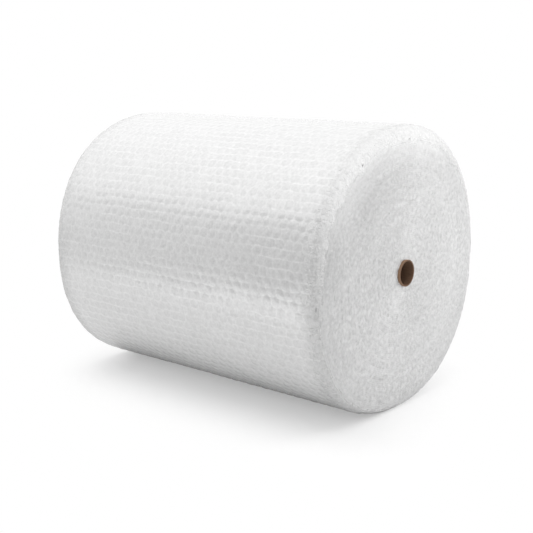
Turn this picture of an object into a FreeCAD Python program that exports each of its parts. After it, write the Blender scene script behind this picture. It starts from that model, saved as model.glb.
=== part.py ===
"""A large roll of bubble wrap on a cardboard core, lying on its side.

The web is one long sheet: a flat film with rows of air bubbles sealed to it, wound bubbles
inwards round a cardboard tube. The flat film shows on the outside as low ridges, one for each
row of bubbles, and the edges of the turns show on both ends as one long spiral. The roll is
soft: it is slightly squarish, its ends are rounded, and its own weight presses a small flat
spot where it lies.

Frame: +X is the axis of the roll, +Z is up, and the origin is on the ground in the middle of
the flat spot. All sizes are in millimetres.
"""

import FreeCAD
import Part

import math
import os

# Web and roll
web_width = 1000.0            # length of the roll, from one film end to the other
roll_breadth = 794.0          # across the roll, level
roll_height = 790.0           # across the roll, upright, before the flat spot is pressed in
squareness = 2.19             # 2 is an ellipse, more is squarer
lean = 0.018                  # how far the top leans back, for each millimetre of height
flat_sag = 4.0                # how deep the ground presses into the roll
near_edge = (30.0, 45.0)      # soft edge of the +X end: along the axis, and towards the core
far_edge = (16.0, 16.0)       # the same at the other end, which is crisper
rounding_steps = 3            # flats that make up a soft edge

# Rows of bubbles, seen through the outer film
bubble_pitch = 28.9           # from bubble to bubble along a row
row_relief = 2.0              # how far the film dips between two rows

# Turns, seen on the ends
turn_pitch = 10.2             # thickness of one turn of the web, as wound
turn_relief = 3.0             # how far the film edge of a turn stands out
turn_sides = 24               # straight sides in one turn
rim_band = 6.0                # smooth band between the last turn and the soft edge
hub_band = 6.0                # smooth band between the core and the first turn

# Outer end of the web
tail_angle = 305.0            # where the web ends: 0 is the back, 90 the top, 270 the ground
tail_step = 5.0               # drop at the cut edge of the web
tail_ease = 50.0              # degrees in which the drop fades out

# Cardboard core
core_bore = 66.0              # inside diameter
core_wall = 4.0
core_standout = 6.0           # how far the tube stands out of each end
core_drop = 6.0               # the core hangs this much below the middle of the roll
core_fit = 0.1                # gap between the tube and the web wound on it

half_web = web_width / 2
half_breadth = roll_breadth / 2
half_height = roll_height / 2
mean_radius = (half_breadth + half_height) / 2
axis_height = half_height - flat_sag
core_radius = core_bore / 2 + core_wall
core_height = axis_height - core_drop
end_face = half_web - turn_relief
row_pitch = bubble_pitch * math.sqrt(3) / 2


def outline(angle, scale=1.0):
    """Point (y, z) of the soft section at an angle in degrees, about the middle of the roll."""
    c = math.cos(math.radians(angle))
    s = math.sin(math.radians(angle))
    reach = (abs(c / half_breadth) ** squareness + abs(s / half_height) ** squareness)
    radius = scale * reach ** (-1 / squareness)
    return radius * (c + lean * s), radius * s


def row_angles():
    """Angles of the crests and dips of the bubble rows, evenly spaced round the girth."""
    fine = 1440
    angles = [tail_angle + 360.0 * i / fine for i in range(fine + 1)]
    points = [outline(a) for a in angles]
    run = [0.0]
    for a, b in zip(points, points[1:]):
        run.append(run[-1] + math.dist(a, b))
    count = 2 * round(run[-1] / row_pitch)
    shared = []
    i = 0
    for k in range(count):
        goal = run[-1] * k / count
        while run[i + 1] < goal:
            i += 1
        part = (goal - run[i]) / (run[i + 1] - run[i])
        shared.append(angles[i] + part * (angles[i + 1] - angles[i]))
    return shared


def side_section():
    """Ridged section of the roll, with the step of the tail."""
    ring = [outline(tail_angle)]
    for k, angle in enumerate(row_angles()):
        after_tail = (angle - tail_angle) / tail_ease
        drop = tail_step * max(0.0, 1 - after_tail) ** 2
        if k % 2 == 1:
            drop += row_relief
        ring.append(outline(angle, 1 - drop / mean_radius))
    return ring


def press_flat(ring):
    """The part of a closed ring above the ground, closed by one straight side on the ground."""
    pressed = []
    for (y0, z0), (y1, z1) in zip(ring, ring[1:] + ring[:1]):
        if z0 > -axis_height:
            pressed.append((y0, z0))
        if (z0 + axis_height) * (z1 + axis_height) < 0:
            part = (-axis_height - z0) / (z1 - z0)
            pressed.append((y0 + part * (y1 - y0), -axis_height))
    return pressed


def place(ring, x, scale=1.0):
    """A ring of (y, z) points, scaled about the middle of the roll and set at x."""
    return [FreeCAD.Vector(x, scale * y, axis_height + scale * z) for y, z in ring]


def flat_face(points):
    """A plane face with the given corners."""
    return Part.Face(Part.makePolygon(points + points[:1]))


def ring_face(outside, inside):
    """A plane face between two closed wires."""
    return Part.Face(outside).cut(Part.Face(inside)).Faces[0]


def soft_edge(along, inwards):
    """Places x and scales of the section through a soft edge, from the side to the end face."""
    stations = []
    for k in range(rounding_steps + 1):
        turn = math.radians(90.0 * k / rounding_steps)
        x = end_face - along * (1 - math.sin(turn))
        stations.append((x, 1 - inwards * (1 - math.cos(turn)) / mean_radius))
    return stations


def side_faces(section):
    """The side of the roll, with a soft edge at each end, and its last ring at each end."""
    stations = [(-x, scale) for x, scale in reversed(soft_edge(*far_edge))] + soft_edge(*near_edge)
    rings = [place(section, x, scale) for x, scale in stations]
    faces = []
    for near, far in zip(rings, rings[1:]):
        for i, corner in enumerate(near):
            j = (i + 1) % len(near)
            faces.append(flat_face([corner, near[j], far[j], far[i]]))
    return faces, rings[0], rings[-1]


def turn_corners(inwards):
    """Corners (y, z) of the wound spiral, and how many whole turns it has.

    A turn is two half turns about centres that lie half a pitch apart, so that the sides of
    neighbouring turns stay parallel and every face between them is flat.
    """
    pitch = turn_pitch / mean_radius
    first = (core_radius + core_fit + core_drop + hub_band) / mean_radius
    last = 1 - (inwards + max(tail_step + row_relief, flat_sag) + rim_band) / mean_radius
    turns = int((last - first) / pitch) - 1
    start_y, start_z = outline(tail_angle)
    corners = []
    for i in range((turns + 1) * turn_sides + 1):
        halves = 2 * i // turn_sides
        scale = first + halves // 2 * pitch
        shift = 0.0
        if halves % 2 == 1:
            scale += pitch / 2
            shift = pitch / 2
        y, z = outline(tail_angle + 360.0 * i / turn_sides, scale)
        corners.append((y + shift * start_y, z + shift * start_z))
    return corners, turns


def end_faces(rim, side, inwards):
    """One end of the roll: each turn slopes out from its bubbles to the edge of its film."""
    corners, turns = turn_corners(inwards)
    base = place(corners, side * end_face)
    edge = place(corners, side * half_web)
    n = turn_sides
    faces = []
    for i in range(turns * n):
        faces.append(flat_face([base[i], base[i + 1], edge[i + n + 1], edge[i + n]]))
        faces.append(flat_face([edge[i + n], edge[i + n + 1], base[i + n + 1], base[i + n]]))
    faces.append(flat_face([base[0], base[n], edge[n]]))
    faces.append(flat_face([base[turns * n], base[-1], edge[-1]]))
    core_centre = FreeCAD.Vector(side * end_face, 0, core_height)
    hole = Part.makeCircle(core_radius + core_fit, core_centre, FreeCAD.Vector(1, 0, 0))
    faces.append(ring_face(Part.makePolygon(base[:n + 1] + base[:1]), Part.Wire(hole)))
    last_turn = Part.makePolygon(base[turns * n:] + [base[turns * n]])
    faces.append(ring_face(Part.makePolygon(rim + rim[:1]), last_turn))
    return faces


def wound_bubble_film():
    """The whole web, as wound: one solid with a round hole for the core."""
    faces, left_ring, right_ring = side_faces(press_flat(side_section()))
    faces += end_faces(left_ring, -1, far_edge[1])
    faces += end_faces(right_ring, 1, near_edge[1])
    bottom = FreeCAD.Vector(-end_face, 0, core_height)
    hole = Part.makeCylinder(core_radius + core_fit, 2 * end_face, bottom, FreeCAD.Vector(1, 0, 0))
    faces += [f for f in hole.Faces if isinstance(f.Surface, Part.Cylinder)]
    shell = Part.makeShell(faces)
    shell.sewShape()
    solid = Part.makeSolid(shell)
    if solid.Volume < 0:
        solid.reverse()
    return solid


def cardboard_core():
    """Spiral-wound cardboard tube, as long as the roll and a little more at each end."""
    length = web_width + 2 * core_standout
    start = FreeCAD.Vector(-length / 2, 0, core_height)
    along = FreeCAD.Vector(1, 0, 0)
    tube = Part.makeCylinder(core_radius, length, start, along)
    return tube.cut(Part.makeCylinder(core_bore / 2, length, start, along))


os.makedirs("parts", exist_ok=True)
pieces = {"wound_bubble_film": wound_bubble_film(), "cardboard_core": cardboard_core()}
for name, shape in pieces.items():
    shape.exportStep("parts/" + name + ".step")
    box = shape.BoundBox
    print(name, "valid", shape.isValid(), "solids", len(shape.Solids), "faces", len(shape.Faces),
          "litres", round(shape.Volume / 1e6, 2))
    print("  x", round(box.XMin, 1), round(box.XMax, 1), " y", round(box.YMin, 1), round(box.YMax, 1),
          " z", round(box.ZMin, 2), round(box.ZMax, 1))
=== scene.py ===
# %% [markdown]
# A large roll of bubble wrap, lying on its side on a white studio floor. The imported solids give
# the true size and place of the wound film and of its cardboard core. This lesson loads them,
# then dresses the plain film solid: one outer turn with every bubble pillowed under its flat
# film, two ends with the cut edges of all the turns, and a spiral-wound paper core.

import math

import bmesh
import bpy
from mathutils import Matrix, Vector


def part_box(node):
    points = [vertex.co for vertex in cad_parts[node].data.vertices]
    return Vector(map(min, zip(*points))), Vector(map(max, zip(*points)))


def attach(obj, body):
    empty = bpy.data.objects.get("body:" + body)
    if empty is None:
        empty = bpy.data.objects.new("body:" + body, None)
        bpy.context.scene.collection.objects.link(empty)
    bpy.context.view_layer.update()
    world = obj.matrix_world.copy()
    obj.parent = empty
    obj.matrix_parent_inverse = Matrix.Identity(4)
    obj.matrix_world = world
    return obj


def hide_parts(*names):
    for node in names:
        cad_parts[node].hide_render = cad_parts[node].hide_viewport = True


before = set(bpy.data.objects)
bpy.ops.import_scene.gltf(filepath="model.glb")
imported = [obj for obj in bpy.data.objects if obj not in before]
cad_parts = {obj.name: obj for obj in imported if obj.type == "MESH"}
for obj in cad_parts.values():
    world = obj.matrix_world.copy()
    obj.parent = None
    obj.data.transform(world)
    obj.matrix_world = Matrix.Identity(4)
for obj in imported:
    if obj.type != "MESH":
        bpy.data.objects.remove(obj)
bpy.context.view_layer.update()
MM = 0.001
WEB = "wound_bubble_film"
CORE = "cardboard_core"
web_low, web_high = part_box(WEB)
core_low, core_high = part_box(CORE)
print("film solid", [round(v / MM) for v in web_high - web_low], "mm")

# %% [markdown]
# Every size below is either read from the two solids or is a real size of the product: bubbles
# 25 mm across and 28.9 mm apart, in staggered rows, and a web about 10 mm thick as wound.

# %% Sizes of the roll
HALF_WEB = web_high.x
FLAT_SAG = 4 * MM
HALF_BREADTH = (web_high.y - web_low.y) / 2
HALF_HEIGHT = (web_high.z + FLAT_SAG) / 2
MEAN_RADIUS = (HALF_BREADTH + HALF_HEIGHT) / 2
AXIS_HEIGHT = HALF_HEIGHT - FLAT_SAG
SQUARENESS = 2.19
LEAN = 0.018
SOFT_EDGE = 32 * MM
SOFT_BOTTOM = 28 * MM
SOFT_TOP = 80 * MM
CRISP_EDGE = 16 * MM
TAIL_ANGLE = math.radians(305)
TAIL_STEP = 5 * MM
TAIL_EASE = 300 * MM
CORE_RADIUS = (core_high.y - core_low.y) / 2
CORE_HEIGHT = (core_high.z + core_low.z) / 2
BUBBLE_PITCH = 28.9 * MM
BUBBLE_RADIUS = 12.5 * MM
ROW_PITCH = BUBBLE_PITCH * math.sqrt(3) / 2
TURN_PITCH = 10.2 * MM
print("mean radius", round(MEAN_RADIUS / MM), "mm, axis", round(AXIS_HEIGHT / MM), "mm up")


# %% [markdown]
# Two helpers serve every tree in this file. One adds a node, sets its options and feeds its
# inputs, in a material, in the world or in Geometry Nodes alike. The other turns a colour as
# people write it, an sRGB hex value, into the linear numbers that Blender computes with.

# %% Helpers for trees and colours
MATH = "ShaderNodeMath"
VECTOR = "ShaderNodeVectorMath"
NOISE = "ShaderNodeTexNoise"
MIX = "ShaderNodeMix"


def add(tree, kind, feeds=(), **settings):
    """Adds a node. Feeds are values, sockets or nodes, by position or by input name."""
    node = tree.nodes.new(kind)
    for name, value in settings.items():
        setattr(node, name, value)
    pairs = feeds.items() if isinstance(feeds, dict) else enumerate(feeds)
    for key, value in pairs:
        if isinstance(value, bpy.types.Node):
            value = value.outputs[0]
        if isinstance(value, bpy.types.NodeSocket):
            tree.links.new(value, node.inputs[key])
        else:
            node.inputs[key].default_value = value
    return node


def linear(hex_colour):
    """Linear RGBA of an sRGB colour such as '#d8d8d6'."""
    parts = [int(hex_colour[i:i + 2], 16) / 255 for i in (1, 3, 5)]
    return [c / 12.92 if c < 0.04045 else ((c + 0.055) / 1.055) ** 2.4 for c in parts] + [1.0]


# %% [markdown]
# The section of the roll is a soft, slightly squarish ring. It is drawn once as a closed curve
# that starts where the web ends, at the low back of the roll, and both the outer turn and the
# ends are laid along it. A curve is the natural carrier: Geometry Nodes can ask it for the
# point at any share of its length.

# %% The section curve
SECTION_POINTS = 720


def outline(angle):
    """Point (y, z) of the section about the middle of the roll: 0 is the back, 90 degrees up."""
    c = math.cos(angle)
    s = math.sin(angle)
    reach = abs(c / HALF_BREADTH) ** SQUARENESS + abs(s / HALF_HEIGHT) ** SQUARENESS
    radius = reach ** (-1 / SQUARENESS)
    return radius * (c + LEAN * s), radius * s


ring = [outline(TAIL_ANGLE + 2 * math.pi * i / SECTION_POINTS) for i in range(SECTION_POINTS)]
girth = sum(math.dist(ring[i - 1], ring[i]) for i in range(SECTION_POINTS))
section_curve = bpy.data.curves.new("section", "CURVE")
section_curve.dimensions = "3D"
spline = section_curve.splines.new("POLY")
spline.points.add(SECTION_POINTS - 1)
for point, (y, z) in zip(spline.points, ring):
    point.co = (0, y, z, 1)
spline.use_cyclic_u = True
section = bpy.data.objects.new("section", section_curve)
bpy.context.scene.collection.objects.link(section)
ROWS = round(girth / ROW_PITCH)
ROW_STEP = girth / ROWS
print("girth", round(girth / MM), "mm,", ROWS, "rows of bubbles")


# %% [markdown]
# One cell of the web is a hexagon of film with a round bubble in its middle. The bubble's air
# pushes the flat film out by a millimetre or so. There are more than three thousand cells, so
# a cell has only a few dozen faces. It is built point by point in bmesh: a dome of so few faces
# comes out cleaner that way than from a cut-down sphere.

# %% One cell of the web
PILLOW = 0.9 * MM
RIM_HEIGHT = 0.1


def bubble_cell():
    """A hexagon with its points along the girth, domed over the bubble."""
    mesh = bpy.data.meshes.new("cell")
    form = bmesh.new()
    corner = BUBBLE_PITCH / math.sqrt(3)
    rings = [[form.verts.new((0, 0, PILLOW))]]
    for count, radius, height in ((6, 0.5, 0.8), (12, 0.97, RIM_HEIGHT)):
        step = 2 * math.pi / count
        r = radius * BUBBLE_RADIUS
        ring_verts = []
        for i in range(count):
            a = step * i + math.pi / 6 * (count == 6)
            ring_verts.append(form.verts.new((r * math.cos(a), r * math.sin(a), height * PILLOW)))
        rings.append(ring_verts)
    corners = []
    for i in range(6):
        a = math.pi / 3 * i + math.pi / 6
        corners.append(form.verts.new((corner * math.cos(a), corner * math.sin(a), 0)))
    inner, outer = rings[1], rings[2]
    for i in range(6):
        nxt = (i + 1) % 6
        form.faces.new((rings[0][0], inner[i], inner[nxt]))
        middle = (2 * i + 2) % 12
        before = (2 * i + 1) % 12
        after = (2 * i + 3) % 12
        form.faces.new((inner[i], outer[before], outer[middle]))
        form.faces.new((inner[i], outer[middle], inner[nxt]))
        form.faces.new((inner[nxt], outer[middle], outer[after]))
        form.faces.new((outer[before], corners[i], outer[middle]))
        form.faces.new((outer[middle], corners[i], corners[nxt]))
        form.faces.new((outer[middle], corners[nxt], outer[after]))
    form.to_mesh(mesh)
    form.free()
    cell = bpy.data.objects.new("cell", mesh)
    bpy.context.scene.collection.objects.link(cell)
    return cell


cell = bubble_cell()
print("one cell has", len(cell.data.polygons), "faces")


# %% [markdown]
# The film is low-density polyethylene, blown thin and sealed in two layers. One layer is clear,
# but many over each other look milky white, with a glossy skin that shows every lamp. So the
# body is a pale diffuse white. One sheet of film mirrors 4 percent of the light, but here a
# dozen of them lie under each other, so the coat's index is set higher than polyethylene's 1.51
# to give what they mirror together. A bubble is a little darker than the seal round it, because
# the eye looks deeper into the roll there. Where the film is bent between two rows it is painted
# a little paler, in patches: a painted highlight. Fine creases are too small to be modelled: they
# come from a bump, weak on the taut side and strong in the last few centimetres next to an end.
# Near the ends, and faintly elsewhere, the film is also painted greyer low on the roll, away from
# the lamps above: painted shade. Light that falls on the top of the roll comes out again at the
# top of its soft rim. Tracing it through the layers would be slow, so an attribute tells the
# paint where it is, and the film is painted paler there: painted light. The two bands say how
# high the painted light and the painted shade reach, in radii from the axis.

# %% Polyethylene film
FILM_IOR = 1.51
LAYERED_IOR = 2.25
LIT_THROUGH = "#f8f8f8"
LIT_FROM = (0.0, -0.3, 0.95)
LIT_BAND = (0.5, 0.95)
UNLIT_BAND = (0.6, 0.1)
CRUMPLED_ZONE = 70 * MM
BEND_WIDTH = 3 * MM
CLOUD_SIZE = 110 * MM
CLOUD_TONE = 0.4
# Where the clouds let the painted highlight along the bends show.
HIGHLIGHT_CLOUDS = (0.4, 0.65)
FLECK_SIZE = 7 * MM


def film_material(name, deep, pale, bubbles, flecks, bend_highlight, painted_shade, crease, taut, crumpled,
                  gloss, coat):
    """Milky layered film. Bubbles and flecks say how much each of them changes its tone; the next
    two say how strongly the painted highlight along the bends and the painted shade low near an
    end change it. Crease is the size of a crease, and taut and crumpled are its heights."""
    material = bpy.data.materials.new(name)
    material.use_nodes = True
    tree = material.node_tree
    tree.nodes.clear()
    place = add(tree, "ShaderNodeTexCoord").outputs["Object"]
    bubble = add(tree, "ShaderNodeAttribute", attribute_name="depth").outputs["Fac"]
    bubble = add(tree, "ShaderNodeMapRange", {"Value": bubble}, interpolation_type="SMOOTHSTEP")
    cloud = add(tree, NOISE, {"Vector": place, "Scale": 1 / CLOUD_SIZE, "Detail": 3.0})
    fleck = add(tree, NOISE, {"Vector": place, "Scale": 1 / FLECK_SIZE, "Detail": 2.0})
    fleck = add(tree, MATH, [fleck.outputs["Fac"], 0.5], operation="SUBTRACT")
    depth = add(tree, MATH, [bubble, bubbles], operation="MULTIPLY")
    depth = add(tree, MATH, [cloud.outputs["Fac"], CLOUD_TONE, depth], operation="MULTIPLY_ADD")
    depth = add(tree, MATH, [fleck, flecks, depth], operation="MULTIPLY_ADD")
    unrolled = add(tree, "ShaderNodeUVMap", uv_map="unrolled")
    row = add(tree, MATH, [add(tree, "ShaderNodeSeparateXYZ", [unrolled]).outputs[1], ROW_STEP],
              operation="DIVIDE")
    gap = add(tree, MATH, [row, 0.5])
    gap = add(tree, MATH, [gap, 0.5], operation="PINGPONG")
    # Painted highlight: paler lines, in patches, where the film is bent between two rows.
    bend_highlight_mask = add(tree, "ShaderNodeMapRange", {
        "Value": gap, "From Min": 0.5 - BEND_WIDTH / ROW_STEP, "From Max": 0.5})
    patchy = add(tree, "ShaderNodeMapRange", {
        "Value": cloud.outputs["Fac"], "From Min": HIGHLIGHT_CLOUDS[0], "From Max": HIGHLIGHT_CLOUDS[1]})
    bend_highlight_mask = add(tree, MATH, [bend_highlight_mask, patchy], operation="MULTIPLY")
    depth = add(tree, MATH, [bend_highlight_mask, -bend_highlight, depth], operation="MULTIPLY_ADD")
    along = add(tree, MATH, [add(tree, "ShaderNodeSeparateXYZ", [place])], operation="ABSOLUTE")
    slack = add(tree, "ShaderNodeMapRange", {
        "Value": along, "From Min": HALF_WEB - CRUMPLED_ZONE, "From Max": HALF_WEB,
        "To Min": taut / crumpled, "To Max": 1.0}, interpolation_type="SMOOTHSTEP")
    # Painted shade: the film is painted greyer low on the roll, most near the ends.
    up = add(tree, VECTOR, [place, LIT_FROM], operation="DOT_PRODUCT").outputs["Value"]
    lit_height, unlit_height = [AXIS_HEIGHT + share * MEAN_RADIUS for share in UNLIT_BAND]
    unlit = add(tree, "ShaderNodeMapRange", {
        "Value": up, "From Min": unlit_height, "From Max": lit_height,
        "To Min": painted_shade, "To Max": 0.0})
    depth = add(tree, MATH, [slack.outputs["Result"], unlit, depth], operation="MULTIPLY_ADD")
    tint = add(tree, MIX, {"Factor": depth}, data_type="RGBA", clamp_factor=False)
    tint.inputs["A"].default_value = linear(pale)
    tint.inputs["B"].default_value = linear(deep)
    # Painted light: the film is painted paler where the glow attribute says light comes through.
    glow = add(tree, "ShaderNodeAttribute", attribute_name="glow").outputs["Fac"]
    tint = add(tree, MIX, {"Factor": glow, "A": tint.outputs["Result"]}, data_type="RGBA")
    tint.inputs["B"].default_value = linear(LIT_THROUGH)
    creases = add(tree, NOISE, {"Vector": place, "Scale": 1 / crease, "Detail": 3.0,
                                "Distortion": 1.5})
    height = add(tree, MATH, [creases.outputs["Fac"], slack], operation="MULTIPLY")
    relief = add(tree, "ShaderNodeBump", {"Strength": 1.0, "Distance": crumpled,
                                          "Height": height})
    body = add(tree, "ShaderNodeBsdfPrincipled", {"Normal": relief.outputs["Normal"]})
    tree.links.new(tint.outputs["Result"], body.inputs["Base Color"])
    body.inputs["Roughness"].default_value = gloss
    body.inputs["IOR"].default_value = FILM_IOR
    body.inputs["Specular IOR Level"].default_value = 0.9
    body.inputs["Coat Weight"].default_value = coat
    body.inputs["Coat Roughness"].default_value = gloss
    body.inputs["Coat IOR"].default_value = LAYERED_IOR
    tree.links.new(relief.outputs["Normal"], body.inputs["Coat Normal"])
    add(tree, "ShaderNodeOutputMaterial", [body])
    return material


side_film = film_material("layered_polyethylene_film", deep="#d2d2d2", pale="#e6e6e6",
                          bubbles=0.4, flecks=1.8, bend_highlight=0.6, painted_shade=1.0, crease=9 * MM,
                          taut=0.45 * MM, crumpled=4 * MM, gloss=0.26, coat=1.0)
edge_film = film_material("slit_polyethylene_edges", deep="#cecece", pale="#f0f0f0",
                          bubbles=0.6, flecks=1.0, bend_highlight=0.0, painted_shade=0.0, crease=4 * MM,
                          taut=0.8 * MM, crumpled=0.8 * MM, gloss=0.34, coat=0.5)
print("film materials", side_film.name, edge_film.name)


# %% [markdown]
# The outer turn is laid by rule: a grid of points, alternate rows shifted by half a bubble, one
# cell on each point, and the flat web then wrapped along the section curve. Each bubble holds
# its own amount of air and sits a few millimetres off the rule, as in a web that has been
# handled. The near end has slumped into a wide soft edge, the far end is crisper, and at both
# the web folds over the edge in a ragged lip. Geometry Nodes does all of it in one tree, whose
# named inputs are the sizes above. The web could be an array with a curve modifier, but that
# can't shift every other row or turn over the two ends.

# %% Helpers for Geometry Nodes
SLUMP_POWER = 2.0


def new_tree(name, sizes):
    """A Geometry Nodes tree with named inputs; sizes maps a name to a socket kind."""
    tree = bpy.data.node_groups.new(name, "GeometryNodeTree")
    tree.interface.new_socket("Geometry", in_out="OUTPUT", socket_type="NodeSocketGeometry")
    for label, kind in sizes.items():
        tree.interface.new_socket(label, in_out="INPUT", socket_type="NodeSocket" + kind)
    entry = add(tree, "NodeGroupInput")
    return tree, entry.outputs


def grow(name, tree, values):
    """Runs a tree on an empty mesh with its inputs set, and returns the result as an object."""
    carrier = bpy.data.objects.new(name, bpy.data.meshes.new(name))
    bpy.context.scene.collection.objects.link(carrier)
    modifier = carrier.modifiers.new(name, "NODES")
    modifier.node_group = tree
    for item in tree.interface.items_tree:
        if item.in_out == "INPUT":
            modifier[item.identifier] = values[item.name]
    graph = bpy.context.evaluated_depsgraph_get()
    mesh = bpy.data.meshes.new_from_object(carrier.evaluated_get(graph))
    carrier.modifiers.remove(modifier)
    carrier.data = mesh
    mesh.name = name
    triangles = sum(len(p.vertices) - 2 for p in mesh.polygons)
    print(name, "has", triangles, "triangles")
    return carrier


def seeded_noise(g, size, place, feature, detail=2.0):
    """A noise node whose features are as large as feature, the same on each run."""
    return add(g, NOISE, {"Vector": place, "W": size["Seed"], "Scale": 1 / feature,
                          "Detail": detail}, noise_dimensions="4D")


def sway(g, size, place, feature, detail=2.0):
    """Seeded noise that goes as far below zero as above it."""
    noise = seeded_noise(g, size, place, feature, detail)
    return add(g, MATH, [noise.outputs["Fac"], 0.5], operation="SUBTRACT")


def soft_depth(g, size, section_place):
    """How far the soft edge reaches towards the core: the top of the roll has slumped most."""
    up = add(g, "ShaderNodeSeparateXYZ", [section_place]).outputs[2]
    up = add(g, MATH, [up, size["Mean radius"]], operation="DIVIDE")
    up = add(g, MATH, [up, 0.5, 0.5], operation="MULTIPLY_ADD")
    up = add(g, MATH, [up, SLUMP_POWER], operation="POWER")
    return add(g, "ShaderNodeMapRange", {"Value": up, "To Min": size["Soft bottom"],
                                         "To Max": size["Soft top"]}).outputs["Result"]


def light_through(g, size, section_place, near_rim):
    """How much light leaves here that fell on the top of the roll: 1 at the top of a soft rim."""
    up = add(g, VECTOR, [section_place, LIT_FROM], operation="DOT_PRODUCT")
    up = add(g, MATH, [up.outputs["Value"], size["Mean radius"]], operation="DIVIDE")
    up = add(g, "ShaderNodeMapRange", {"Value": up, "From Min": LIT_BAND[0],
                                       "From Max": LIT_BAND[1]},
             interpolation_type="SMOOTHSTEP")
    return add(g, MATH, [up, near_rim], operation="MULTIPLY")


def cut_off(g, shape, beyond, held):
    """Moves all points to where they are held, without the faces that lie wholly beyond."""
    marked = add(g, "GeometryNodeStoreNamedAttribute",
                 {"Geometry": shape, "Name": "beyond", "Value": beyond},
                 data_type="BOOLEAN", domain="POINT")
    moved = add(g, "GeometryNodeSetPosition", {"Geometry": marked, "Position": held})
    is_beyond = add(g, "GeometryNodeInputNamedAttribute", {"Name": "beyond"}, data_type="BOOLEAN")
    trimmed = add(g, "GeometryNodeDeleteGeometry", {"Geometry": moved, "Selection": is_beyond},
                  domain="FACE")
    return add(g, "GeometryNodeRemoveAttribute", {"Geometry": trimmed, "Name": "beyond"})


# %% Lay the web flat
TINY = 0.001 * MM


def flat_web(g, size):
    """Staggered rows of cells, joined, and cut straight on all four sides."""
    across = add(g, MATH, [size["Bubbles"], 1], operation="SUBTRACT")
    across = add(g, MATH, [across, size["Bubble pitch"]], operation="MULTIPLY")
    around = add(g, MATH, [size["Rows"], 1], operation="SUBTRACT")
    around = add(g, MATH, [around, size["Row pitch"]], operation="MULTIPLY")
    grid = add(g, "GeometryNodeMeshGrid", [across, around, size["Bubbles"], size["Rows"]])
    row = add(g, MATH, [add(g, "GeometryNodeInputIndex"), size["Rows"]], operation="MODULO")
    parity = add(g, MATH, [row, 2.0], operation="MODULO")
    parity = add(g, MATH, [parity, 0.5], operation="SUBTRACT")
    parity = add(g, MATH, [parity, 0.5], operation="MULTIPLY")
    shift = add(g, MATH, [parity, size["Bubble pitch"]], operation="MULTIPLY")
    middle = add(g, MATH, [size["Web start"], size["Web end"]])
    middle = add(g, MATH, [middle, 0.5], operation="MULTIPLY")
    offset = add(g, "ShaderNodeCombineXYZ", [shift, middle])
    staggered = add(g, "GeometryNodeSetPosition", {"Geometry": grid, "Offset": offset})
    one_cell = add(g, "GeometryNodeObjectInfo", {"Object": size["Cell"]}).outputs["Geometry"]
    cells = add(g, "GeometryNodeInstanceOnPoints", {"Points": staggered, "Instance": one_cell})
    air = add(g, "FunctionNodeRandomValue", {"Seed": size["Seed"]}, data_type="FLOAT")
    cells = add(g, "GeometryNodeStoreNamedAttribute",
                {"Geometry": cells, "Name": "air", "Value": air.outputs[1]},
                data_type="FLOAT", domain="INSTANCE")
    cells = add(g, "GeometryNodeRealizeInstances", [cells])
    least = add(g, "ShaderNodeCombineXYZ",
                [add(g, MATH, [size["Far half"], -1.0], operation="MULTIPLY"),
                 size["Web start"], -1.0])
    most = add(g, "ShaderNodeCombineXYZ", [size["Near half"], size["Web end"], 1.0])
    place = add(g, "GeometryNodeInputPosition")
    held = add(g, VECTOR, [place, least], operation="MAXIMUM")
    held = add(g, VECTOR, [held, most], operation="MINIMUM")
    moved = add(g, VECTOR, [place, held], operation="DISTANCE").outputs["Value"]
    beyond = add(g, MATH, [moved, TINY], operation="GREATER_THAN")
    inside = cut_off(g, cells, beyond, held)
    return add(g, "GeometryNodeMergeByDistance", {"Geometry": inside, "Distance": 0.2 * MM})


# %% Puff, ruffle and wrap the web
AIRLESS_EDGE = 8 * MM
DRIFT_SIZE = 40 * MM
PATCH_SIZE = 12 * MM
PATCH_CONTRAST = 2.4
FOLD_SIZE = (50 * MM, 27 * MM)
SLACK_SIZE = (260 * MM, 130 * MM)
TUCKED_SHARE = 0.27
CUT_SHARE = 0.2
TAIL_DIVE = 2.0
RAG_SIZE = 38 * MM
RAG_LEAST = 0.55
RAG_RANGE = 0.9
OFF_GROUND = 0.3 * MM


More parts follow.
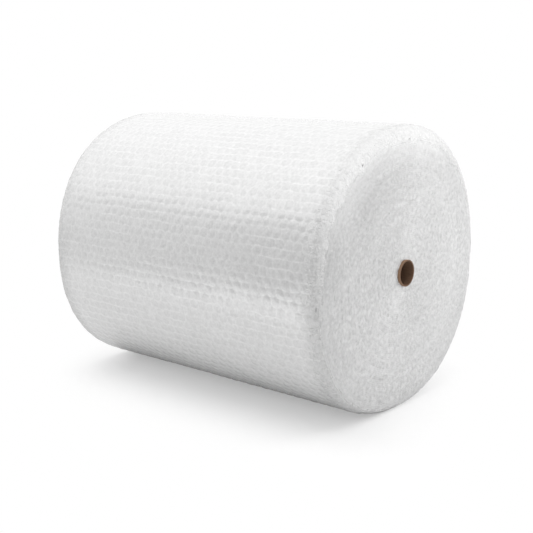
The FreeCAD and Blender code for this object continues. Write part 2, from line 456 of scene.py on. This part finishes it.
def wrapped_web(g, size, web):
    """The flat web bent round the section, with a soft edge at both ends of the roll."""
    place = add(g, "ShaderNodeSeparateXYZ", [add(g, "GeometryNodeInputPosition")])
    along, v, rise = place.outputs
    side = add(g, MATH, [along], operation="SIGN")
    is_near = add(g, MATH, [along, 0.0], operation="GREATER_THAN")
    reach = add(g, MATH, [along], operation="ABSOLUTE")
    half = add(g, MIX, {"Factor": is_near, "A": size["Far half"], "B": size["Near half"]})
    lip = add(g, MIX, {"Factor": is_near, "A": size["Far lip"], "B": size["Near lip"]})
    to_edge = add(g, MATH, [half, reach], operation="SUBTRACT")
    full = add(g, "ShaderNodeMapRange", {"Value": to_edge, "From Min": AIRLESS_EDGE,
                                         "From Max": size["Crumpled zone"]},
               interpolation_type="SMOOTHSTEP")
    unrolled = add(g, "ShaderNodeCombineXYZ", [along, v])
    drift = seeded_noise(g, size, unrolled, DRIFT_SIZE, detail=1.0)
    drift = add(g, VECTOR, [drift.outputs["Color"], (0.5, 0.5, 0.5)], operation="SUBTRACT")
    drift_size = add(g, MATH, [size["Drift"], full], operation="MULTIPLY")
    drift = add(g, VECTOR, {0: drift, "Scale": drift_size}, operation="SCALE")
    drift = add(g, "ShaderNodeSeparateXYZ", [drift])
    share = add(g, MATH, [v, drift.outputs[1]])
    share = add(g, MATH, [share, size["Girth"]], operation="DIVIDE")
    share = add(g, MATH, [share], operation="FRACT")
    curve = add(g, "GeometryNodeObjectInfo", {"Object": size["Section"]})
    sample = add(g, "GeometryNodeSampleCurve",
                 {"Curves": curve.outputs["Geometry"], "Factor": share}, mode="FACTOR",
                 use_all_curves=True)
    marked = add(g, "GeometryNodeStoreNamedAttribute",
                 {"Geometry": web, "Name": "unrolled", "Value": unrolled},
                 data_type="FLOAT2", domain="CORNER")

    air = add(g, "GeometryNodeInputNamedAttribute", {"Name": "air"}, data_type="FLOAT")
    air = add(g, MATH, [air, 0.5])
    puff = add(g, MATH, [full, air], operation="MULTIPLY")
    depth = add(g, "ShaderNodeMapRange", {"Value": rise, "From Max": size["Clear height"]})
    depth = add(g, MATH, [depth, puff], operation="MULTIPLY")
    puff = add(g, MATH, [rise, puff], operation="MULTIPLY")
    loose = add(g, MATH, [1.0, full], operation="SUBTRACT")
    patch = seeded_noise(g, size, unrolled, PATCH_SIZE)
    patch = add(g, MATH, [patch.outputs["Fac"], PATCH_CONTRAST, -0.7], operation="MULTIPLY_ADD")
    depth = add(g, MATH, [loose, patch, depth], operation="MULTIPLY_ADD", use_clamp=True)
    marked = add(g, "GeometryNodeStoreNamedAttribute",
                 {"Geometry": marked, "Name": "depth", "Value": depth},
                 data_type="FLOAT", domain="POINT")

    folds_place = add(g, VECTOR, [unrolled, (1 / FOLD_SIZE[0], 1 / FOLD_SIZE[1], 0.0)],
                      operation="MULTIPLY")
    folds = sway(g, size, folds_place, 1.0)
    folds = add(g, MATH, [folds, size["Ruffle"]], operation="MULTIPLY")
    folds = add(g, MATH, [folds, loose], operation="MULTIPLY")
    slack_place = add(g, VECTOR, [unrolled, (1 / SLACK_SIZE[0], 1 / SLACK_SIZE[1], 0.0)],
                      operation="MULTIPLY")
    slack = sway(g, size, slack_place, 1.0)
    height = add(g, MATH, [slack, size["Slack"], puff], operation="MULTIPLY_ADD")
    height = add(g, MATH, [height, folds])
    to_lip = add(g, MATH, [to_edge, lip], operation="DIVIDE")
    tuck = add(g, "ShaderNodeMapRange", {"Value": to_lip, "From Max": TUCKED_SHARE,
                                         "To Min": size["Tuck"], "To Max": 0.0},
               interpolation_type="SMOOTHSTEP")
    height = add(g, MATH, [height, tuck], operation="SUBTRACT")

    from_tail = add(g, MATH, [v, size["Tail ease"]], operation="DIVIDE")
    from_tail = add(g, MATH, [1.0, from_tail], operation="SUBTRACT", use_clamp=True)
    drop = add(g, MATH, [from_tail, 2.0], operation="POWER")
    cut_row = add(g, MATH, [size["Row pitch"], -CUT_SHARE, size["Web end"]],
                  operation="MULTIPLY_ADD")
    is_cut = add(g, MATH, [v, cut_row], operation="GREATER_THAN")
    dive = add(g, MATH, [is_cut, TAIL_DIVE], operation="MULTIPLY")
    drop = add(g, MATH, [drop, dive], operation="MAXIMUM")
    drop = add(g, MATH, [drop, size["Tail step"]], operation="MULTIPLY")
    height = add(g, MATH, [height, drop], operation="SUBTRACT")

    straight = add(g, MATH, [half, lip], operation="SUBTRACT")
    past = add(g, MATH, [reach, straight], operation="SUBTRACT")
    past = add(g, MATH, [past, 0.0], operation="MAXIMUM")
    turn = add(g, MATH, [past, lip], operation="DIVIDE")
    ragged = add(g, "ShaderNodeCombineXYZ", [side, v])
    ragged = seeded_noise(g, size, ragged, RAG_SIZE, detail=3.0)
    ragged = add(g, MATH, [ragged.outputs["Fac"], RAG_RANGE, RAG_LEAST],
                 operation="MULTIPLY_ADD")
    turn = add(g, MATH, [turn, ragged], operation="MULTIPLY")
    turn = add(g, MATH, [turn, size["Lip turn"]], operation="MULTIPLY")
    sine = add(g, MATH, [turn], operation="SINE")
    cosine = add(g, MATH, [turn], operation="COSINE")
    # Painted light: how much paler the top of the near rim is painted.
    near_rim = add(g, MATH, [past, is_near], operation="MULTIPLY")
    near_rim = add(g, "ShaderNodeMapRange", {"Value": near_rim, "From Max": size["Soft edge"]},
                   interpolation_type="SMOOTHSTEP")
    glow = light_through(g, size, sample.outputs["Position"], near_rim)
    marked = add(g, "GeometryNodeStoreNamedAttribute",
                 {"Geometry": marked, "Name": "glow", "Value": glow},
                 data_type="FLOAT", domain="POINT")
    reach_in = add(g, MIX, {"Factor": is_near, "A": size["Crisp edge"],
                            "B": soft_depth(g, size, sample.outputs["Position"])})
    reach_out = add(g, MIX, {"Factor": is_near, "A": size["Crisp edge"],
                             "B": size["Soft edge"]})
    inset = add(g, MATH, [1.0, cosine], operation="SUBTRACT")
    inset = add(g, MATH, [inset, reach_in], operation="MULTIPLY")
    reach = add(g, MATH, [reach, straight], operation="MINIMUM")
    reach = add(g, MATH, [sine, reach_out, reach], operation="MULTIPLY_ADD")
    sideways = add(g, MATH, [height, sine, reach], operation="MULTIPLY_ADD")
    x = add(g, MATH, [side, sideways, drift.outputs[0]], operation="MULTIPLY_ADD")

    outward = add(g, VECTOR, [sample.outputs["Tangent"], (1.0, 0.0, 0.0)],
                  operation="CROSS_PRODUCT")
    radial = add(g, MATH, [height, cosine], operation="MULTIPLY")
    radial = add(g, MATH, [radial, inset], operation="SUBTRACT")
    lift = add(g, VECTOR, {0: outward, "Scale": radial}, operation="SCALE")
    on_ring = add(g, VECTOR, [sample.outputs["Position"], lift], operation="ADD")
    ring_place = add(g, "ShaderNodeSeparateXYZ", [on_ring])
    z = add(g, MATH, [ring_place.outputs[2], size["Axis height"]])
    z = add(g, MATH, [z, OFF_GROUND], operation="MAXIMUM")
    wrapped = add(g, "ShaderNodeCombineXYZ", [x, ring_place.outputs[1], z])
    return add(g, "GeometryNodeSetPosition", {"Geometry": marked, "Position": wrapped})


# %% The outer turn as one tree
def outer_turn_tree():
    lengths = ("Bubble pitch", "Row pitch", "Girth", "Web start", "Web end", "Near half",
               "Far half", "Near lip", "Far lip", "Lip turn", "Soft edge", "Soft bottom",
               "Soft top", "Crisp edge", "Mean radius", "Tail step", "Tail ease",
               "Axis height", "Crumpled zone", "Clear height", "Ruffle", "Tuck", "Slack",
               "Drift", "Seed")
    sizes = {"Section": "Object", "Cell": "Object", "Film": "Material", "Rows": "Int",
             "Bubbles": "Int", **{name: "Float" for name in lengths}}
    g, size = new_tree("outer_turn", sizes)
    bent = wrapped_web(g, size, flat_web(g, size))
    outwards = add(g, "GeometryNodeFlipFaces", [bent])
    smooth = add(g, "GeometryNodeSetShadeSmooth", [outwards])
    solid = add(g, "GeometryNodeRealizeInstances", [smooth])
    finish = add(g, "GeometryNodeSetMaterial", {"Geometry": solid, "Material": size["Film"]})
    add(g, "NodeGroupOutput", [finish])
    return g


# %% Wind the outer turn
UNDER_TAIL = 2
NEAR_LIP = 60 * MM
FAR_LIP = 24 * MM
LIP_TURN = math.radians(74)
outer_turn = grow("outer_turn", outer_turn_tree(), {
    "Section": section, "Cell": cell, "Film": side_film, "Rows": ROWS + UNDER_TAIL,
    "Bubbles": math.ceil(2 * HALF_WEB / BUBBLE_PITCH) + 3, "Bubble pitch": BUBBLE_PITCH,
    "Row pitch": ROW_STEP, "Girth": girth, "Web start": -UNDER_TAIL * ROW_STEP,
    "Web end": girth, "Near half": HALF_WEB - SOFT_EDGE + NEAR_LIP,
    "Far half": HALF_WEB - CRISP_EDGE + FAR_LIP, "Near lip": NEAR_LIP, "Far lip": FAR_LIP,
    "Lip turn": LIP_TURN, "Soft edge": SOFT_EDGE, "Soft bottom": SOFT_BOTTOM,
    "Soft top": SOFT_TOP, "Crisp edge": CRISP_EDGE, "Mean radius": MEAN_RADIUS,
    "Tail step": TAIL_STEP, "Tail ease": TAIL_EASE, "Axis height": AXIS_HEIGHT,
    "Crumpled zone": CRUMPLED_ZONE, "Clear height": 1.7 * RIM_HEIGHT * PILLOW,
    "Ruffle": 5 * MM, "Tuck": 4 * MM, "Slack": 4 * MM, "Drift": 14 * MM, "Seed": 3.0})
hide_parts(WEB)
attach(outer_turn, "root")


# %% [markdown]
# Both ends show the edges of every turn: a thin straight line where the flat film is slit, and
# beside it a wandering, scalloped line where the knife went through the bubbles. The surface is
# one strip that winds outwards along the section, five points wide: film edge, hollow, bubble
# edge, hollow, film edge of the next turn. It starts two turns inside the core, where it is cut
# off, and runs on under the lip of the outer turn, so that no slit opens at either. Noise with a
# fixed seed crumples it and mottles its tone. The hollows are painted darker: painted shade. The
# near end is painted darker towards its rim as well, painted shade that gives way at the top of
# the rim to painted light.

# %% The wound ends as a tree
COLUMNS = 5
# Painted shade: how much darker the hollows are painted.
HOLLOW_SHADE = 0.4
# Painted shade: how much darker the near end is painted towards its rim.
RIM_SHADE = 0.3
RIM_ZONE = (130 * MM, 30 * MM)
UNDER_LIP = (0.6, 0.8)
STRAY_SIZE = 45 * MM
STRAY_ROWS = 5.0
WANDER_SIZE = 22 * MM
CRUMPLE_SIZE = 8 * MM
STAGGER_SIZE = 1 / 3
STAGGER_TURNS = 5.0
END_OFF_GROUND = 1 * MM


def wound_end_tree():
    sizes = {"Section": "Object", "Film": "Material", "Turns": "Int", "Steps": "Int",
             "First turn": "Float", "Turn pitch": "Float", "Mean radius": "Float",
             "Last radius": "Float", "Half width": "Float", "Soft edge": "Float",
             "Soft bottom": "Float", "Soft top": "Float", "Covered": "Float",
             "Core radius": "Float", "Core height": "Float", "Axis height": "Float",
             "Hollow": "Float", "Scallop": "Float", "Crumple": "Float", "Stagger": "Float",
             "Row spacing": "Float", "Side": "Float", "Seed": "Float"}
    g, size = new_tree("wound_end", sizes)
    length = add(g, MATH, [size["Turns"], size["Steps"], 1.0], operation="MULTIPLY_ADD")
    strip = add(g, "GeometryNodeMeshGrid", {"Vertices X": length, "Vertices Y": COLUMNS})
    index = add(g, "GeometryNodeInputIndex")
    step = add(g, MATH, [index, float(COLUMNS)], operation="DIVIDE")
    step = add(g, MATH, [step], operation="FLOOR")
    column = add(g, MATH, [index, float(COLUMNS)], operation="MODULO")
    turns = add(g, MATH, [step, size["Steps"]], operation="DIVIDE")
    share = add(g, MATH, [turns], operation="FRACT")
    hollow = add(g, MATH, [column, 2.0], operation="MODULO")
    is_bubble = add(g, MATH, [column, 2.0, 0.1], operation="COMPARE")
    inside = add(g, MATH, [hollow, is_bubble])

    wound = add(g, MATH, [column, 1 / (COLUMNS - 1), turns], operation="MULTIPLY_ADD")
    reach = add(g, MATH, [wound, size["Turn pitch"], size["First turn"]],
                operation="MULTIPLY_ADD")
    curve = add(g, "GeometryNodeObjectInfo", {"Object": size["Section"]})
    sample = add(g, "GeometryNodeSampleCurve",
                 {"Curves": curve.outputs["Geometry"], "Factor": share}, mode="FACTOR",
                 use_all_curves=True)
    scale = add(g, MATH, [reach, size["Mean radius"]], operation="DIVIDE")
    plain = add(g, VECTOR, {0: sample.outputs["Position"], "Scale": scale}, operation="SCALE")

    arc = add(g, MATH, [turns, math.tau], operation="MULTIPLY")
    arc = add(g, MATH, [arc, reach], operation="MULTIPLY")
    phase = add(g, MATH, [arc, size["Row spacing"]], operation="DIVIDE")
    stray = seeded_noise(g, size, plain, STRAY_SIZE)
    phase = add(g, MATH, [stray.outputs["Fac"], STRAY_ROWS, phase], operation="MULTIPLY_ADD")
    phase = add(g, MATH, [phase, math.tau], operation="MULTIPLY")
    wave = add(g, MATH, [phase], operation="SINE")
    wave = add(g, MATH, [wave, size["Scallop"]], operation="MULTIPLY")
    wave = add(g, MATH, [wave, inside], operation="MULTIPLY")
    wander = sway(g, size, plain, WANDER_SIZE, detail=3.0)
    wander = add(g, MATH, [wander, size["Crumple"]], operation="MULTIPLY")
    reach = add(g, MATH, [reach, wave])
    reach = add(g, MATH, [reach, wander])
    past_last = add(g, MATH, [reach, size["Last radius"]], operation="GREATER_THAN")
    reach = add(g, MATH, [reach, size["Last radius"]], operation="MINIMUM")

    scale = add(g, MATH, [reach, size["Mean radius"]], operation="DIVIDE")
    spot = add(g, VECTOR, {0: sample.outputs["Position"], "Scale": scale}, operation="SCALE")
    axis_spot = add(g, "ShaderNodeCombineXYZ", [0.0, 0.0, size["Axis height"]])
    core_spot = add(g, "ShaderNodeCombineXYZ", [0.0, 0.0, size["Core height"]])
    spot = add(g, VECTOR, [spot, axis_spot], operation="ADD")
    arm = add(g, VECTOR, [spot, core_spot], operation="SUBTRACT")
    arm_length = add(g, VECTOR, [arm], operation="LENGTH").outputs["Value"]
    in_core = add(g, MATH, [arm_length, size["Core radius"]], operation="LESS_THAN")
    beyond = add(g, MATH, [past_last, in_core], operation="MAXIMUM")
    grown = add(g, MATH, [arm_length, size["Core radius"]], operation="MAXIMUM")
    grown = add(g, MATH, [grown, arm_length], operation="DIVIDE")
    arm = add(g, VECTOR, {0: arm, "Scale": grown}, operation="SCALE")
    spot = add(g, VECTOR, [arm, core_spot], operation="ADD")
    spot = add(g, "ShaderNodeSeparateXYZ", [spot])

    edge_depth = soft_depth(g, size, sample.outputs["Position"])
    rim = add(g, MATH, [size["Mean radius"], edge_depth], operation="SUBTRACT")
    over = add(g, MATH, [reach, rim], operation="SUBTRACT")
    over = add(g, MATH, [over, 0.0], operation="MAXIMUM")
    over = add(g, MATH, [over, edge_depth], operation="DIVIDE")
    bow = add(g, MATH, [add(g, MATH, [over], operation="ARCSINE")], operation="COSINE")
    bow = add(g, MATH, [1.0, bow], operation="SUBTRACT")
    bow = add(g, MATH, [bow, size["Soft edge"]], operation="MULTIPLY")
    covered = add(g, "ShaderNodeMapRange", {"Value": over, "From Min": UNDER_LIP[0],
                                            "From Max": UNDER_LIP[1], "To Max": size["Covered"]})
    bow = add(g, MATH, [bow, covered])
    jump = sway(g, size, plain, CRUMPLE_SIZE)
    jump = add(g, MATH, [jump, size["Crumple"]], operation="MULTIPLY")
    x = add(g, MATH, [size["Half width"], bow], operation="SUBTRACT")
    sink = add(g, MATH, [hollow, size["Hollow"]], operation="MULTIPLY")
    x = add(g, MATH, [x, sink], operation="SUBTRACT")
    x = add(g, MATH, [x, jump])
    ring_place = add(g, "ShaderNodeSeparateXYZ", [plain])
    turn_place = add(g, "ShaderNodeCombineXYZ",
                     [add(g, MATH, [wound, STAGGER_TURNS], operation="MULTIPLY"),
                      ring_place.outputs[1], ring_place.outputs[2]])
    stagger = sway(g, size, turn_place, STAGGER_SIZE)
    x = add(g, MATH, [stagger, size["Stagger"], x], operation="MULTIPLY_ADD")
    x = add(g, MATH, [x, size["Side"]], operation="MULTIPLY")
    z = add(g, MATH, [spot.outputs[2], END_OFF_GROUND], operation="MAXIMUM")
    wound_place = add(g, "ShaderNodeCombineXYZ", [x, spot.outputs[1], z])
    patch = seeded_noise(g, size, plain, PATCH_SIZE)
    patch = add(g, MATH, [patch.outputs["Fac"], PATCH_CONTRAST, -0.9], operation="MULTIPLY_ADD")
    is_near = add(g, MATH, [size["Side"], 0.0], operation="GREATER_THAN")
    rim_gap = add(g, MATH, [size["Mean radius"], reach], operation="SUBTRACT")
    near_rim = add(g, "ShaderNodeMapRange",
                   {"Value": rim_gap, "From Min": RIM_ZONE[0], "From Max": RIM_ZONE[1],
                    "To Max": is_near}, interpolation_type="SMOOTHSTEP")
    # Painted light at the top of the near rim; below it, painted shade towards the rim, and
    # painted shade in the hollows.
    glow = light_through(g, size, sample.outputs["Position"], near_rim)
    shaded = add(g, MATH, [near_rim, glow], operation="SUBTRACT")
    depth = add(g, MATH, [hollow, HOLLOW_SHADE, patch], operation="MULTIPLY_ADD")
    depth = add(g, MATH, [shaded, RIM_SHADE, depth], operation="MULTIPLY_ADD", use_clamp=True)
    marked = add(g, "GeometryNodeStoreNamedAttribute",
                 {"Geometry": strip, "Name": "depth", "Value": depth},
                 data_type="FLOAT", domain="POINT")
    marked = add(g, "GeometryNodeStoreNamedAttribute",
                 {"Geometry": marked, "Name": "glow", "Value": glow},
                 data_type="FLOAT", domain="POINT")
    bent = cut_off(g, marked, beyond, wound_place)
    closed = add(g, "GeometryNodeMergeByDistance", {"Geometry": bent, "Distance": 0.05 * MM})
    outwards = add(g, "GeometryNodeFlipFaces", {"Mesh": closed, "Selection": is_near})
    smooth = add(g, "GeometryNodeSetShadeSmooth", [outwards])
    solid = add(g, "GeometryNodeRealizeInstances", [smooth])
    finish = add(g, "GeometryNodeSetMaterial", {"Geometry": solid, "Material": size["Film"]})
    add(g, "NodeGroupOutput", [finish])
    return g


# %% Wind the two ends
end_tree = wound_end_tree()
END_INSET = 0.5 * MM
TURNS_IN_CORE = 2
TURNS = math.ceil((MEAN_RADIUS - CORE_RADIUS) / TURN_PITCH) + TURNS_IN_CORE
ENDS = (("near_end", 1.0, SOFT_EDGE, SOFT_BOTTOM, SOFT_TOP, 8 * MM),
        ("far_end", -1.0, CRISP_EDGE, CRISP_EDGE, CRISP_EDGE, 4 * MM))
for name, side, edge, bottom, top, last_inset in ENDS:
    wound_end = grow(name, end_tree, {
        "Section": section, "Film": edge_film, "Turns": TURNS, "Steps": 600,
        "First turn": CORE_RADIUS - TURNS_IN_CORE * TURN_PITCH, "Turn pitch": TURN_PITCH,
        "Mean radius": MEAN_RADIUS, "Last radius": MEAN_RADIUS - last_inset,
        "Half width": HALF_WEB - END_INSET, "Soft edge": edge, "Soft bottom": bottom,
        "Soft top": top, "Covered": 3 * MM, "Core radius": CORE_RADIUS,
        "Core height": CORE_HEIGHT, "Axis height": AXIS_HEIGHT,
        "Hollow": 2.4 * MM, "Scallop": 0.8 * MM, "Crumple": 3.5 * MM, "Stagger": 3 * MM,
        "Row spacing": 2 * ROW_PITCH, "Side": side, "Seed": 5.0 + side})
    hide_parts(WEB)
    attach(wound_end, "root")


# %% [markdown]
# The core is a tube of brown paper, wound on the slant from several plies and glued. Its solid
# from the frame has the right shape and size, so it stays and only gets its board. The outer
# ply is the palest, the cut ends show every ply as a dark ring, and inside the bore the joint
# of the strip runs round as a helix.

# %% Spiral-wound board
PLY = 0.8 * MM
STRIP_LEAD = 110 * MM
JOINT = 0.02
OUTER_PLY = 0.3 * MM
FIBRES = (60.0, 400.0, 400.0)


def board_material():
    material = bpy.data.materials.new("spiral_wound_kraft_board")
    material.use_nodes = True
    tree = material.node_tree
    tree.nodes.clear()
    place = add(tree, "ShaderNodeTexCoord").outputs["Object"]
    from_axis = add(tree, VECTOR, [place, (0.0, 0.0, CORE_HEIGHT)], operation="SUBTRACT")
    along, y, z = add(tree, "ShaderNodeSeparateXYZ", [from_axis]).outputs
    radius = add(tree, VECTOR, [add(tree, "ShaderNodeCombineXYZ", [0.0, y, z])],
                 operation="LENGTH").outputs["Value"]
    depth = add(tree, MATH, [CORE_RADIUS, radius], operation="SUBTRACT")
    skin = add(tree, MATH, [depth, OUTER_PLY], operation="LESS_THAN")
    ply = add(tree, MATH, [depth, PLY], operation="DIVIDE")
    ply = add(tree, MATH, [ply, 1.0], operation="PINGPONG")
    turn = add(tree, MATH, [y, z], operation="ARCTAN2")
    turn = add(tree, MATH, [turn, math.tau], operation="DIVIDE")
    turn = add(tree, MATH, [along, 1 / STRIP_LEAD, turn], operation="MULTIPLY_ADD")
    joint = add(tree, MATH, [add(tree, MATH, [turn], operation="FRACT"), JOINT],
                operation="LESS_THAN")
    fibre_place = add(tree, VECTOR, [place, FIBRES], operation="MULTIPLY")
    fibre = add(tree, NOISE, {"Vector": fibre_place, "Scale": 1.0, "Detail": 4.0})
    pale = add(tree, MATH, [fibre.outputs["Fac"], 0.35], operation="MULTIPLY")
    pale = add(tree, MATH, [ply, 0.2, pale], operation="MULTIPLY_ADD")
    pale = add(tree, MATH, [skin, 0.55, pale], operation="MULTIPLY_ADD")
    pale = add(tree, MATH, [joint, -0.25, pale], operation="MULTIPLY_ADD", use_clamp=True)
    tint = add(tree, MIX, {"Factor": pale}, data_type="RGBA")
    tint.inputs["A"].default_value = linear("#4c3324")
    tint.inputs["B"].default_value = linear("#a5866c")
    height = add(tree, MATH, [joint, -1.0, fibre.outputs["Fac"]], operation="MULTIPLY_ADD")
    relief = add(tree, "ShaderNodeBump", {"Strength": 0.6, "Distance": 0.3 * MM,
                                          "Height": height})
    body = add(tree, "ShaderNodeBsdfPrincipled", {"Normal": relief.outputs["Normal"]})
    tree.links.new(tint.outputs["Result"], body.inputs["Base Color"])
    body.inputs["Roughness"].default_value = 0.85
    add(tree, "ShaderNodeOutputMaterial", [body])
    return material


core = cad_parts[CORE]
core.data.materials.clear()
core.data.materials.append(board_material())
print("core", round(2 * CORE_RADIUS / MM), "mm across")


# %% [markdown]
# The studio is the one a packshot of pale goods asks for. The floor is white, and matt only in a
# slanted patch round the roll, where it keeps the soft shadow. Further off it turns into plain
# white, as the background does. A glossy white roll would drown in a white room, so a grey card
# stands in front of it, and a bright strip on the floor before the card draws a soft highlight
# low on the side. Only mirrored rays see the two: they shape the film's reflection and light
# nothing. Three softboxes light the roll: one overhead, one at the end that shows, and a weaker
# one at the far end that rounds off the side.

# %% Floor and background
FLOOR_HALF = 30.0
MATT_HALF = (0.44, 0.30)
MATT_FADE = 0.28
MATT_LEAST = 0.36
MATT_SLANT = 0.35
MIRROR_FADE = 2.5
WHITE = linear("#ffffff")


def kept_white(tree):
    """1 for a ray that should see plain white: straight, mirrored or passed through."""
    path = add(tree, "ShaderNodeLightPath")
    seen = add(tree, MATH, [path.outputs["Is Camera Ray"], path.outputs["Is Glossy Ray"]],
               operation="MAXIMUM")
    return add(tree, MATH, [seen, path.outputs["Is Transmission Ray"]], operation="MAXIMUM")


def floor_material():
    material = bpy.data.materials.new("white_studio_floor")
    material.use_nodes = True
    tree = material.node_tree
    tree.nodes.clear()
    place = add(tree, "ShaderNodeTexCoord").outputs["Object"]
    is_seen = add(tree, "ShaderNodeLightPath").outputs["Is Camera Ray"]
    paint = add(tree, MIX, {"Factor": is_seen}, data_type="RGBA")
    paint.inputs["A"].default_value = linear("#ececec")
    paint.inputs["B"].default_value = linear("#fbfbfb")
    matt = add(tree, "ShaderNodeBsdfDiffuse", [paint.outputs["Result"]])
    white = add(tree, "ShaderNodeEmission")
    across = add(tree, "ShaderNodeSeparateXYZ", [place]).outputs[1]
    slant = add(tree, MATH, [across, MATT_SLANT], operation="MULTIPLY")
    away = add(tree, VECTOR, [place, add(tree, "ShaderNodeCombineXYZ", [slant])],
               operation="ADD")
    away = add(tree, VECTOR, [away], operation="ABSOLUTE")
    away = add(tree, VECTOR, [away, (*MATT_HALF, 0.0)], operation="SUBTRACT")
    away = add(tree, VECTOR, [away, (0.0, 0.0, 0.0)], operation="MAXIMUM")
    away = add(tree, VECTOR, [away], operation="LENGTH").outputs["Value"]
    seen = add(tree, "ShaderNodeMapRange",
               {"Value": away, "From Max": MATT_FADE, "To Min": MATT_LEAST},
               interpolation_type="SMOOTHSTEP")
    mirrored = add(tree, "ShaderNodeMapRange", {"Value": away, "From Max": MIRROR_FADE},
                   interpolation_type="SMOOTHSTEP")
    is_mirrored = add(tree, "ShaderNodeLightPath").outputs["Is Glossy Ray"]
    far = add(tree, MIX, {"Factor": is_mirrored, "A": seen.outputs["Result"],
                          "B": mirrored.outputs["Result"]})
    blend = add(tree, MATH, [far, kept_white(tree)], operation="MULTIPLY")
    cover = add(tree, "ShaderNodeMixShader", [blend, matt, white])
    add(tree, "ShaderNodeOutputMaterial", [cover])
    return material


def stage_plane(name, corners, material):
    mesh = bpy.data.meshes.new(name)
    mesh.from_pydata(corners, [], [(0, 1, 2, 3)])
    mesh.materials.append(material)
    plane = bpy.data.objects.new(name, mesh)
    bpy.context.scene.collection.objects.link(plane)
    return plane


floor_corners = [(-FLOOR_HALF, -FLOOR_HALF, 0), (FLOOR_HALF, -FLOOR_HALF, 0),
                 (FLOOR_HALF, FLOOR_HALF, 0), (-FLOOR_HALF, FLOOR_HALF, 0)]
stage_plane("floor", floor_corners, floor_material())

# %% Cards that only the film's gloss sees
def card_material(name, first, last, strength, axis, start, end):
    """A card whose grey changes from first to last between two places along an axis."""
    material = bpy.data.materials.new(name)
    material.use_nodes = True
    tree = material.node_tree
    tree.nodes.clear()
    place = add(tree, "ShaderNodeTexCoord").outputs["Object"]
    place = add(tree, "ShaderNodeSeparateXYZ", [place])
    share = add(tree, "ShaderNodeMapRange",
                {"Value": place.outputs[axis], "From Min": start, "From Max": end})
    tint = add(tree, MIX, {"Factor": share.outputs["Result"]}, data_type="RGBA")
    tint.inputs["A"].default_value = linear(first)
    tint.inputs["B"].default_value = linear(last)
    glow = add(tree, "ShaderNodeEmission", {"Color": tint.outputs["Result"],
                                            "Strength": strength})
    add(tree, "ShaderNodeOutputMaterial", [glow])
    return material


def gloss_card(name, corners, material):
    """A card that lights nothing, shades nothing and shows only in reflections."""
    card = stage_plane(name, corners, material)
    card.visible_camera = False
    card.visible_diffuse = False
    card.visible_transmission = False
    card.visible_shadow = False


CARD_Y = -1.3
CARD_X = (-3.5, 2.6)
CARD_HEIGHT = 1.2
STRIP_X = (-2.5, 0.9)
STRIP_Y = (-1.28, -0.98)
STRIP_Z = 0.004
front_grey = card_material("front_card", "#3a3a3a", "#d7d7d7", 1.0, "X", 0.2, -1.7)
gloss_card("front_card", [(CARD_X[0], CARD_Y, 0), (CARD_X[1], CARD_Y, 0),
                          (CARD_X[1], CARD_Y, CARD_HEIGHT), (CARD_X[0], CARD_Y, CARD_HEIGHT)],
           front_grey)
strip_white = card_material("floor_strip", "#000000", "#ffffff", 2.5, "X", STRIP_X[0], 0.6)
gloss_card("floor_strip", [(STRIP_X[0], STRIP_Y[0], STRIP_Z), (STRIP_X[1], STRIP_Y[0], STRIP_Z),
                           (STRIP_X[1], STRIP_Y[1], STRIP_Z), (STRIP_X[0], STRIP_Y[1], STRIP_Z)],
           strip_white)

# %% World
AMBIENT = 0.72
world = bpy.data.worlds.new("studio")
bpy.context.scene.world = world
world.use_nodes = True
sky = world.node_tree
sky.nodes.clear()
fill = add(sky, "ShaderNodeBackground", {"Strength": AMBIENT, "Color": WHITE})
backdrop = add(sky, "ShaderNodeBackground", {"Strength": 1.0, "Color": WHITE})
both = add(sky, "ShaderNodeMixShader", [kept_white(sky), fill, backdrop])
add(sky, "ShaderNodeOutputWorld", [both])


# %% Softboxes
def softbox(name, place, target, width, height, radiance):
    """A soft lamp as bright as radiance: 1 is as bright as the white background."""
    light = bpy.data.lights.new(name, "AREA")
    light.shape = "RECTANGLE"
    light.size = width
    light.size_y = height
    light.energy = radiance * math.pi * width * height
    lamp = bpy.data.objects.new(name, light)
    lamp.location = place
    lamp.rotation_euler = (Vector(target) - Vector(place)).to_track_quat("-Z", "Y").to_euler()
    lamp.visible_glossy = False
    bpy.context.scene.collection.objects.link(lamp)


# Each softbox: its place, what it is aimed at, its width and height, and its brightness
softbox("overhead_softbox", (-0.2, -0.7, 2.8), (-0.2, 0.0, 0.5), 3.2, 2.0, 1.7)
softbox("end_softbox", (1.3, 1.15, 0.85), (0.5, 0.1, 0.4), 0.7, 0.7, 6.3)
softbox("far_softbox", (-2.2, 0.7, 0.5), (-0.5, 0.0, 0.4), 1.0, 0.8, 2.4)
print("studio is lit")

# %% [markdown]
# The camera stands in front and to the right of the roll, a little above it, with a short
# telephoto lens. Its place was found by fitting the outline of the solids to the photograph.

# %% Camera
CAMERA_AZIMUTH = 0.6963
CAMERA_RISE = 0.1902
CAMERA_DISTANCE = 2.955285
FRAME_PIXELS = 533
FOCAL_PIXELS = 968.8
SENSOR = 36.0
OFF_AXIS_X = -2.0
OFF_AXIS_Y = -18.0
cam_data = bpy.data.cameras.new("camera")
cam_data.sensor_width = SENSOR
cam_data.lens = FOCAL_PIXELS / FRAME_PIXELS * SENSOR
cam_data.shift_x = -OFF_AXIS_X / FRAME_PIXELS
cam_data.shift_y = OFF_AXIS_Y / FRAME_PIXELS
camera = bpy.data.objects.new("camera", cam_data)
away = Vector((math.sin(CAMERA_AZIMUTH) * math.cos(CAMERA_RISE),
               -math.cos(CAMERA_AZIMUTH) * math.cos(CAMERA_RISE), math.sin(CAMERA_RISE)))
camera.location = Vector((0, 0, AXIS_HEIGHT)) + CAMERA_DISTANCE * away
camera.rotation_euler = (-away).to_track_quat("-Z", "Y").to_euler()
bpy.context.scene.collection.objects.link(camera)
bpy.context.scene.camera = camera
print("camera", [round(c, 2) for c in camera.location], "lens", round(cam_data.lens, 1), "mm")

# %% Finish
for helper in (section, cell):
    bpy.data.objects.remove(helper)
bpy.context.scene.view_settings.view_transform = "Standard"
bpy.context.view_layer.update()
